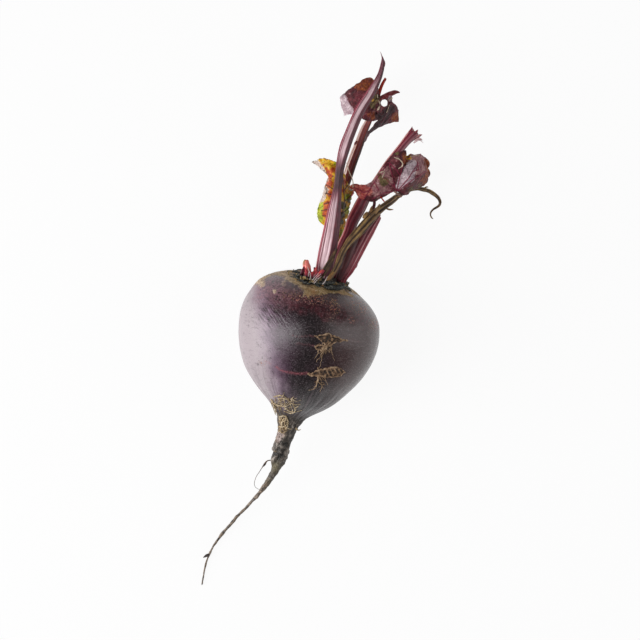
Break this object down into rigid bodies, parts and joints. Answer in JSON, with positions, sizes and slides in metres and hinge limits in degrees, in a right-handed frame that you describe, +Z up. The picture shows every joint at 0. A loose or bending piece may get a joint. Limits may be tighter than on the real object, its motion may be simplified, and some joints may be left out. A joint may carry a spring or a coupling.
{
  "type": "beetroot",
  "caption": "Whole dark beetroot lying on its side, with its tapering tail root, a ragged crown, torn leaf stalks, crumpled leaves and young shoots.",
  "frame": {"origin": "centre of the small flat spot that the bulb rests on", "axes": "+Z up from the surface that it lies on, +Y from the tail root towards the leaf stalks, +X to the right seen from above with the stalks pointing away"},
  "size_m": [0.1276, 0.2792, 0.0725],
  "materials": {
    "skin": "satin",
    "stalk": "satin",
    "withered_stalk": "matte",
    "shoot": "satin",
    "leaf": "satin",
    "yellow_leaf": "satin",
    "dead_base": "matte",
    "rootlet": "matte"
  },
  "bodies": {
    "root": {"beet_root": "skin", "long_stalk": "stalk", "back_stalk": "stalk", "middle_stalk": "stalk", "right_stalk": "stalk", "withered_stalk": "withered_stalk", "left_shoot": "shoot", "middle_shoot": "shoot", "front_shoot": "shoot", "upper_leaf": "leaf", "lower_leaf": "leaf", "yellow_leaf": "yellow_leaf", "leaf_bases": "dead_base", "upper_side_roots": "rootlet", "lower_side_roots": "rootlet", "neck_rootlets": "rootlet", "tail_rootlet": "rootlet"}
  },
  "joints": []
}
